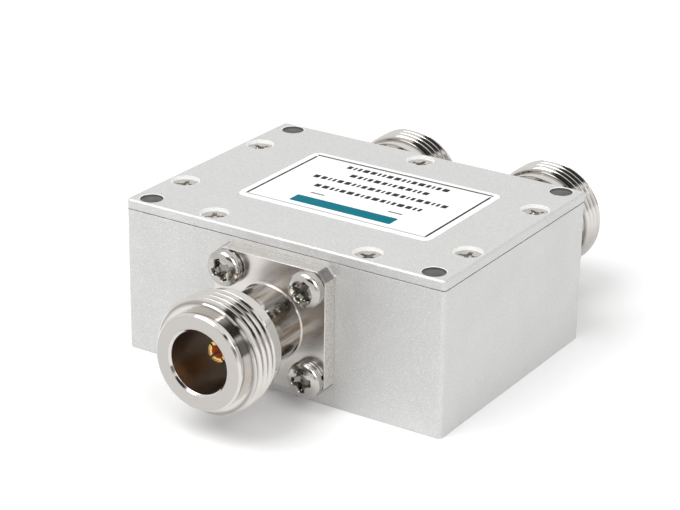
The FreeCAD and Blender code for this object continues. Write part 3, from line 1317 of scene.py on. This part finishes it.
@dataclass(frozen=True)
class Screw:
    """Screw with a cross recess; the head is domed or flat and sits on a cylinder or a cone.

    Heights count from the seat of a pan head or the top of a flat one.
    """

    head: float
    rim_height: float
    crown: float
    seat_depth: float
    shank: float
    tip_depth: float
    recess: CrossRecess
    edge: float = 0.06
    tip_chamfer: float = 0.3
    wall_lines: tuple[float, ...] = (-1.0, -0.35, 0.35, 1.0)
    arm_lines: int = 4
    span_lines: int = 7
    outer_rings: int = 7

    def grid_lines(self) -> np.ndarray:
        """Grid lines across the head, closer together at the recess's walls.

        Returns:
            Their places, in order.
        """
        half_arm, half_span = self.recess.arm / 2, self.recess.span / 2
        wall = self.recess.wall / 2
        at_wall = wall * np.array(self.wall_lines)
        lines = np.concatenate([np.linspace(0.0, half_arm - 2 * wall, self.arm_lines),
                                half_arm + at_wall,
                                np.linspace(half_arm + 3 * wall, half_span - 3 * wall, self.span_lines),
                                half_span + at_wall, [half_span + 2 * wall]])
        return np.unique(np.concatenate([-lines, lines]))

    def top(self) -> tuple[Surface, np.ndarray]:
        """Top of the head: a square grid over the recess that blends into rings up to the rim.

        In the square the grid is plain. Outside it, ring t from 0 to 1 lies between the square's
        edge and the rim's circle, and the height is rim + crown * sqrt(1 - (d/R)^3) less the recess.

        Returns:
            The patch, and the angles of its outermost ring.
        """
        inner = self.grid_lines()
        core = inner.max()
        rings = np.sin(quarter_circle(self.outer_rings + 1))[1:]
        lines = np.concatenate([-(core + rings[::-1]), inner, core + rings])
        across, upward = np.meshgrid(lines, lines, indexing="ij")
        large = np.maximum(np.abs(across), np.abs(upward))
        ring = np.clip(large - core, 0.0, 1.0)
        shrink = core / np.maximum(large, core)
        length = np.maximum(np.hypot(across, upward), TINY)
        x, y = ((1 - ring) * (value * shrink) + ring * self.head * value / length
                for value in (across, upward))
        radial = np.clip(np.hypot(x, y) / self.head, 0.0, 1.0)
        height = self.rim_height + self.crown * np.sqrt(np.clip(1.0 - radial ** 3, 0.0, 1.0))
        side = np.stack([x[-1, :], y[-1, :]], axis=1)
        upper = np.stack([x[::-1, -1], y[::-1, -1]], axis=1)
        border = np.vstack([side, upper[1:], -side[1:], -upper[1:]])
        share = self.recess.share(x, y)
        top = grid(x, y, height - self.recess.depth * share)
        # The tone carries painted light and shade into the recess.
        top.tone = np.sqrt(share).ravel()
        return top, np.unwrap(np.arctan2(border[:, 1], border[:, 0]))

    def shank_profile(self) -> np.ndarray:
        """From the rim down the side of the head, the seat and the shank to the chamfered tip.

        Returns:
            Rows of (radius, height).
        """
        if self.seat_depth > 0.0:
            low = self.rim_height - self.edge
            seat = [(self.head, low), (self.shank, low - self.seat_depth)]
        else:
            seat = [(self.head, self.edge), (self.head - self.edge, 0.0), (self.shank, 0.0)]
        return np.array([(self.head, self.rim_height), *seat,
                         (self.shank, -self.tip_depth + self.tip_chamfer),
                         (self.shank - self.tip_chamfer, -self.tip_depth), (0.0, -self.tip_depth)])

    def surface(self, turn: float, x: float, y: float, height: float) -> Surface:
        """The screw with its recess turned, moved to a place.

        Args:
            turn: Angle of the recess in degrees.
            x: Place of the screw's axis.
            y: Place of the screw's axis.
            height: Height that the head's own heights count from.

        Returns:
            The closed screw.
        """
        top, angles = self.top()
        screw = joined([top, revolved(self.shank_profile(), angles)])
        cosine, sine = math.cos(math.radians(turn)), math.sin(math.radians(turn))
        spin = np.array([[cosine, sine, 0.0], [-sine, cosine, 0.0], [0.0, 0.0, 1.0]])
        return Surface(screw.points @ spin, screw.quads, screw.tone).shifted(x, y, height)


def on_flanges(make: Callable[[float, float, float], Surface], turns: Sequence[float]) -> Surface:
    """Put a part on each screw hole of each jack's flange.

    Args:
        make: Makes the part from its turn in degrees and its place (x, y).
        turns: The turns of the four parts on a flange.

    Returns:
        All the parts together.
    """
    return joined(place.place(make(turn, x, y)) for place in JACKS
                  for turn, (x, y) in zip(turns, Flange().hole_centres()))


@dataclass
class FlangeScrews:
    """Pan-head screws that hold the jacks' flanges."""

    seat_reach: float = 2.9
    turns: tuple[float, ...] = (35.0, 5.0, 60.0, 25.0)
    sharp: float = math.radians(40.0)
    screw: Screw = Screw(head=2.5, rim_height=0.45, crown=1.0, seat_depth=0.0, shank=1.25,
                         tip_depth=6.0, recess=CrossRecess(arm=1.15, span=2.9, depth=1.05, core=0.90,
                                                           wall=0.20, taper=0.28))

    def build(self) -> bpy.types.Object:
        """Make all the screws as one piece.

        Returns:
            The piece.
        """
        surface = on_flanges(lambda turn, x, y: self.screw.surface(turn, x, y, self.seat_reach),
                             self.turns)
        piece = make_piece("pan_head_screws", surface, PolishedSteel().material(),
                           self.sharp)
        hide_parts("flange_screws")
        return piece


@dataclass
class SpringWashers:
    """Split spring washers under the pan heads."""

    inner: float = 1.32
    outer: float = 2.4
    low: float = 2.3
    thickness: float = 0.48
    rounding: float = 0.08
    corner_steps: int = 3
    rise: float = 0.12
    gap_degrees: float = 14.0
    columns: int = 49
    turns: tuple[float, ...] = (105.0, 15.0, 180.0, 75.0)

    def surface(self, turn: float, x: float, y: float) -> Surface:
        """One washer: a rounded bar along a shallow helix that stops short of a full turn.

        Args:
            turn: Angle of the gap in degrees.
            x: Place of its axis.
            y: Place of its axis.

        Returns:
            The closed washer.
        """
        middle = (self.inner + self.outer) / 2
        section = rounded_rectangle(self.outer - self.inner, self.thickness, self.rounding,
                                    self.corner_steps)
        half_gap = math.radians(self.gap_degrees / 2)
        along = np.linspace(half_gap, TURN - half_gap, self.columns)
        angle = along + math.radians(turn)
        lift = self.low + self.thickness / 2 + self.rise * along / TURN
        across, upward = polar(middle + section[:, :1], angle)
        patches = [grid(x + across, y + upward, lift + section[:, 1:2])]
        share = np.array([[1.0], [0.0]])
        for end in (0, -1):
            across, upward = polar(middle + share * section[None, :, 0], angle[end])
            patches.append(grid(x + across, y + upward, lift[end] + share * section[None, :, 1]))
        return joined(patches)

    def build(self) -> bpy.types.Object:
        """Make all the washers as one piece.

        Returns:
            The piece.
        """
        piece = make_piece("split_washers", on_flanges(self.surface, self.turns),
                           PolishedSteel("washer_steel").material())
        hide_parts("spring_washers")
        return piece


# Box


@dataclass
class CoverScrews:
    """Flat countersunk screws, each sunk in its recess in the cover."""

    head_height: float = 21.5
    side_x: float = 22.5
    side_y: float = 9.0
    front_x: float = 12.1
    end_y: float = 16.5
    turns: tuple[float, ...] = (20.0, 65.0, 10.0, 50.0, 35.0, 80.0, 0.0)
    screw: Screw = Screw(head=1.88, rim_height=0.0, crown=0.0, seat_depth=0.88, shank=1.0,
                         tip_depth=5.95, recess=CrossRecess(arm=0.60, span=2.48, depth=0.80,
                                                            core=0.50, wall=0.07), edge=0.05)
    finish: PolishedSteel = PolishedSteel("satin_nickel_screws", colour=(0.56, 0.545, 0.52),
                                          painted_recess_colour=(0.56, 0.52, 0.47), roughness=(0.10, 0.26),
                                          dent=Dent(0.00003), fine_dent=Dent(0.000009, 0.4))

    def centres(self) -> np.ndarray:
        """Places of the seven screws: two left, two right, two in front and one behind."""
        return np.array([[-self.side_x, -self.side_y], [-self.side_x, self.side_y],
                         [self.side_x, -self.side_y], [self.side_x, self.side_y],
                         [-self.front_x, -self.end_y], [self.front_x, -self.end_y],
                         [0.0, self.end_y]])

    def build(self) -> bpy.types.Object:
        """Make all the screws as one piece.

        Returns:
            The piece.
        """
        surface = joined(self.screw.surface(turn, x, y, self.head_height)
                         for turn, (x, y) in zip(self.turns, self.centres()))
        piece = make_piece("countersunk_screws", surface, self.finish.material())
        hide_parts("cover_screws")
        return piece


@dataclass
class Label:
    """White label with a plain border, a plain band, two dashes and rows of plain short bars.

    Places on the label count from its centre. A bar is (x, y, width, depth, corner), and a row is
    (x, y, width).
    """

    width: float = 30.4
    depth: float = 20.0
    corner: float = 1.2
    edge: float = 0.03
    centre: Pair = (1.3, 0.9)
    low: float = 22.0
    top: float = 22.09
    print_top: float = 22.1
    print_edge: float = 0.002
    border_inset: float = 1.05
    border_line: float = 0.34
    border_corner: float = 0.02
    band: tuple[float, ...] = (0.0, -6.65, 16.0, 2.3, 0.25)
    dashes: tuple[tuple[float, ...], ...] = ((-5.9, -3.9, 2.2, 0.3, 0.1), (6.5, -3.9, 2.2, 0.3, 0.1))
    rows: tuple[tuple[float, float, float], ...] = ((0.4, -1.15, 17.0), (0.5, 1.8, 21.4),
                                                    (0.3, 4.6, 12.6), (0.1, 7.2, 16.4))
    row_height: float = 1.05
    row_corner: float = 0.12
    bar_pitch: float = 0.95
    bar_gap: float = 0.36
    bar_least: float = 0.3
    bar_spread: float = 0.6
    bar_phase: float = 2.4
    corner_steps: int = 4
    film: PlainSolid = PlainSolid("label_film", (0.94, 0.94, 0.94), roughness=(0.30, 0.38),
                                  grain=Noise(3000.0, roughness=0.55), spread=0.015,
                                  dent=Dent(0.000002))

    def bar(self, x: float, y: float, width: float, depth: float, corner: float) -> Surface:
        """Flat printed bar with rounded corners.

        Args:
            x: Place of its middle.
            y: Place of its middle.
            width: Size along X.
            depth: Size along Y.
            corner: Corner radius.

        Returns:
            The closed bar.
        """
        outline = rounded_rectangle(width, depth, corner, self.corner_steps)
        outline = outline + np.array(self.centre) + np.array([x, y])
        return plate(outline, self.top, self.print_top, self.print_edge)

    def broken_row(self, x: float, y: float, width: float) -> list[Surface]:
        """A plain rule broken into short bars of uneven length.

        Bar k is least + spread x sin^2(phase x k + y) long before the row is scaled to its width.

        Args:
            x: Middle of the row.
            y: Place of the row.
            width: Length of the row.

        Returns:
            The bars.
        """
        count = int(width / self.bar_pitch)
        waves = np.sin(self.bar_phase * np.arange(count) + y)
        lengths = self.bar_least + self.bar_spread * waves ** 2
        lengths *= (width - self.bar_gap * (count - 1)) / lengths.sum()
        starts = x - width / 2 + np.cumsum(lengths + self.bar_gap) - lengths - self.bar_gap
        return [self.bar(start + length / 2, y, length, self.row_height, self.row_corner)
                for start, length in zip(starts, lengths)]

    def border(self) -> tuple[Surface, Surface]:
        """The border's lines: three dark ones, and a pale one along the front.

        Returns:
            The dark lines and the pale one.
        """
        half_width = self.width / 2 - self.border_inset
        half_depth = self.depth / 2 - self.border_inset
        line, corner = self.border_line, self.border_corner
        across = (2 * half_width + line, line, corner)
        along = (-line / 2, line, 2 * half_depth - 2 * line, corner)
        dark = joined([self.bar(0.0, half_depth, *across), self.bar(-half_width, *along),
                       self.bar(half_width, *along)])
        return dark, self.bar(0.0, -half_depth, *across)

    def build(self) -> bpy.types.Object:
        """Make the sheet and its print.

        Returns:
            The sheet.
        """
        outline = rounded_rectangle(self.width, self.depth, self.corner) + np.array(self.centre)
        sheet = make_piece("label_sheet", plate(outline, self.low, self.top, self.edge),
                           self.film.material())
        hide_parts("label")
        dark, pale = self.border()
        dashes = [self.bar(*dash) for dash in self.dashes]
        rules = [rule for row in self.rows for rule in self.broken_row(*row)]
        make_piece("label_lines", joined([dark] + dashes + rules), Ink.BLACK.material())
        make_piece("label_front_line", pale, Ink.GREY.material())
        make_piece("label_band", self.bar(*self.band), Ink.TEAL.material())
        return sheet


@dataclass
class Box:
    """Housing, cover and what they enclose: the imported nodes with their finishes."""

    alloy: BlastedAlloy = BlastedAlloy()
    dielectric: PlainSolid = PlainSolid("white_dielectric", (0.80, 0.79, 0.76),
                                        grain=Noise(1800.0, roughness=0.55), spread=0.04)
    laminate: PlainSolid = PlainSolid("woven_laminate", (0.72, 0.69, 0.56), roughness=(0.45, 0.6),
                                      grain=Noise(1600.0, roughness=0.55), spread=0.12,
                                      dent=Dent(0.00001))
    track: GoldPlate = GoldPlate((0.84, 0.62, 0.34))
    board_screw: PolishedSteel = PolishedSteel("board_screw_steel")
    chip: PlainSolid = PlainSolid("glazed_chip", (0.035, 0.035, 0.04), roughness=(0.25, 0.4),
                                  grain=Noise(3000.0, roughness=0.55), spread=0.2)

    def build(self) -> None:
        """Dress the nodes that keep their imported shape."""
        for finish, nodes in ((self.alloy, ("housing", "cover_plate")),
                              (self.dielectric, tuple(f"{jack.name}_insulator" for jack in JACKS)),
                              (self.laminate, ("circuit_board",)),
                              (self.track, ("microstrip_tracks",)),
                              (self.board_screw, ("board_screws",)),
                              (self.chip, tuple(f"isolation_resistor_{n}" for n in (1, 2, 3)))):
            material = finish.material()
            for node in nodes:
                dress_node(node, material)


# Studio


def direction(azimuth: float, elevation: float) -> Vector:
    """Direction from the object.

    With a and e for azimuth and elevation it is (sin a cos e, -cos a cos e, sin e).

    Args:
        azimuth: Degrees from the front to the right.
        elevation: Degrees upwards.

    Returns:
        The direction.
    """
    turn, rise = math.radians(azimuth), math.radians(elevation)
    return Vector((math.sin(turn) * math.cos(rise), -math.cos(turn) * math.cos(rise), math.sin(rise)))


def crossed(view: Vector) -> tuple[Vector, Vector]:
    """The level and the upright direction across a view."""
    level = view.cross(Vector((0.0, 0.0, 1.0))).normalized()
    return level, level.cross(view)


@dataclass(frozen=True)
class Flag:
    """A panel that polished metal sees, which takes a share of the light.

    It stands at an azimuth and an elevation, and half its width and height are in degrees. Its edge
    fades over a share of them, the softness.
    """

    azimuth: float
    elevation: float
    half_width: float
    half_height: float
    depth: float
    softness: float

    def taken(self, nodes: Nodes) -> Socket:
        """Share of the light that the panel takes in each direction.

        Args:
            nodes: The tree of the surroundings.

        Returns:
            The share.
        """
        centre = direction(self.azimuth, self.elevation)
        taken = nodes.product(nodes.math("GREATER_THAN", nodes.measure("DOT_PRODUCT", centre), 0.0),
                              self.depth)
        for axis, angle in zip(crossed(centre), (self.half_width, self.half_height)):
            half = math.sin(math.radians(angle))
            away = nodes.math("ABSOLUTE", nodes.measure("DOT_PRODUCT", axis))
            edge = (half * (1 + self.softness), half * (1 - self.softness))
            taken = nodes.product(taken, nodes.window(away, edge))
        return taken


@dataclass(frozen=True)
class Lamp:
    """Square area lamp that shines at the object, with its distance and size in metres."""

    name: str
    azimuth: float
    elevation: float
    distance: float
    size: float
    watts: float

    def build(self) -> None:
        """Put the lamp in its place."""
        place = direction(self.azimuth, self.elevation) * self.distance
        data = bpy.data.lights.new(self.name, "AREA")
        data.shape = "SQUARE"
        data.size = self.size
        data.energy = self.watts
        lamp = bpy.data.objects.new(self.name, data)
        lamp.matrix_world = Matrix.Translation(place) @ place.to_track_quat("Z", "Y").to_matrix().to_4x4()
        bpy.context.scene.collection.objects.link(lamp)


@dataclass
class Studio:
    """Camera, lamps, floor and surroundings."""

    position: tuple[float, float, float] = (149.991, -237.739, 130.506)
    azimuth: float = 32.7225
    elevation: float = 22.6692
    roll: float = 0.7827
    lens: float = 117.162
    sensor_width: float = 36.0
    clip: Pair = (0.01, 50.0)
    floor_size: float = 6000.0
    floor_lines: int = 13
    floor_white: float = 0.96
    shadow_reach: float = 130.0
    white_from: float = 380.0
    soft_light: float = 0.72
    flags: tuple[Flag, ...] = (Flag(11.0, 33.0, 20.0, 10.0, 0.96, 0.12),
                               Flag(42.0, 9.0, 7.0, 14.0, 0.75, 0.2),
                               Flag(140.0, 12.0, 8.0, 12.0, 0.65, 0.3),
                               Flag(95.0, 45.0, 12.0, 22.0, 0.90, 0.2))
    lamps: tuple[Lamp, ...] = (Lamp("key_lamp", -30.0, 60.0, 1.1, 0.7, 5.5),
                               Lamp("fill_lamp", 62.0, 38.0, 1.3, 0.8, 4.8))

    def camera(self) -> None:
        """Place the camera where the photograph was taken from.

        It looks against its own direction from the object. Its right side is level across that
        view, turned about it by the roll.
        """
        forward = -direction(self.azimuth, self.elevation)
        level, upright = crossed(forward)
        roll = math.radians(self.roll)
        right = level * math.cos(roll) + upright * math.sin(roll)
        rotation = Matrix((right, right.cross(forward), -forward)).transposed()
        data = bpy.data.cameras.new("photo_camera")
        data.lens = self.lens
        data.sensor_width = self.sensor_width
        data.clip_start, data.clip_end = self.clip
        camera = bpy.data.objects.new("photo_camera", data)
        camera.matrix_world = Matrix.Translation(Vector(self.position) * METRES) @ rotation.to_4x4()
        bpy.context.scene.collection.objects.link(camera)
        bpy.context.scene.camera = camera

    def world(self) -> None:
        """Surroundings: white for the eye, white with dark panels for gloss, and dimmer for the rest."""
        world = bpy.data.worlds.new("studio")
        bpy.context.scene.world = world
        world.use_nodes = True
        nodes = Nodes(world.node_tree, "Generated")
        glossy: Value = 1.0
        for flag in self.flags:
            glossy = nodes.product(glossy, nodes.math("SUBTRACT", 1.0, flag.taken(nodes)))
        seen = nodes.add("LightPath").outputs
        light = nodes.blend(seen["Is Glossy Ray"], self.soft_light, glossy, Mixed.NUMBERS)
        nodes.fill(nodes.tree.nodes["Background"], Color=(1.0, 1.0, 1.0, 1.0),
                   Strength=nodes.blend(seen["Is Camera Ray"], light, 1.0, Mixed.NUMBERS))

    def floor(self) -> None:
        """White floor that keeps the object's soft shadow.

        Near the object it is plain shaded white. Further off, the eye and the gloss see an even
        white there.
        """
        half = self.floor_size / 2
        lines = np.linspace(-half, half, self.floor_lines)
        x, y = np.meshgrid(lines, lines, indexing="ij")
        surface = grid(x, y, 0.0 * x)
        mesh = bpy.data.meshes.new("studio_floor")
        mesh.from_pydata((surface.points * METRES).tolist(), [], surface.quads[:, ::-1].tolist())
        floor = bpy.data.objects.new("studio_floor", mesh)
        bpy.context.scene.collection.objects.link(floor)
        shade = Shade("studio_white")
        shade.set(Base_Color=(*[self.floor_white] * 3, 1.0), Roughness=0.9, Specular_IOR_Level=0.0)
        far = shade.window(shade.measure("LENGTH"),
                           (self.shadow_reach * METRES, self.white_from * METRES))
        seen = shade.add("LightPath").outputs
        direct = shade.math("MAXIMUM", seen["Is Camera Ray"], seen["Is Glossy Ray"])
        glow = shade.add("Emission", Strength=1.0)
        mix = shade.add("MixShader", Fac=shade.product(direct, far))
        shade.give(mix.inputs[1], shade.surface.outputs["BSDF"])
        shade.give(mix.inputs[2], glow.outputs["Emission"])
        shade.fill(shade.tree.nodes["Material Output"], Surface=mix.outputs["Shader"])
        mesh.materials.append(shade.material)

    def build(self) -> None:
        """Set up the whole studio."""
        bpy.context.scene.view_settings.view_transform = "Standard"
        self.camera()
        for lamp in self.lamps:
            lamp.build()
        self.world()
        self.floor()


def main() -> None:
    """Build every sub-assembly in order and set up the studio."""
    logging.basicConfig(level=logging.INFO, format="%(message)s")
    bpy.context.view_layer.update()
    Box().build()
    CoverScrews().build()
    Label().build()
    for place in JACKS:
        JackShell(place).build()
        CentreContact(place).build()
    FlangeScrews().build()
    SpringWashers().build()
    Studio().build()


if __name__ == "__main__":
    main()
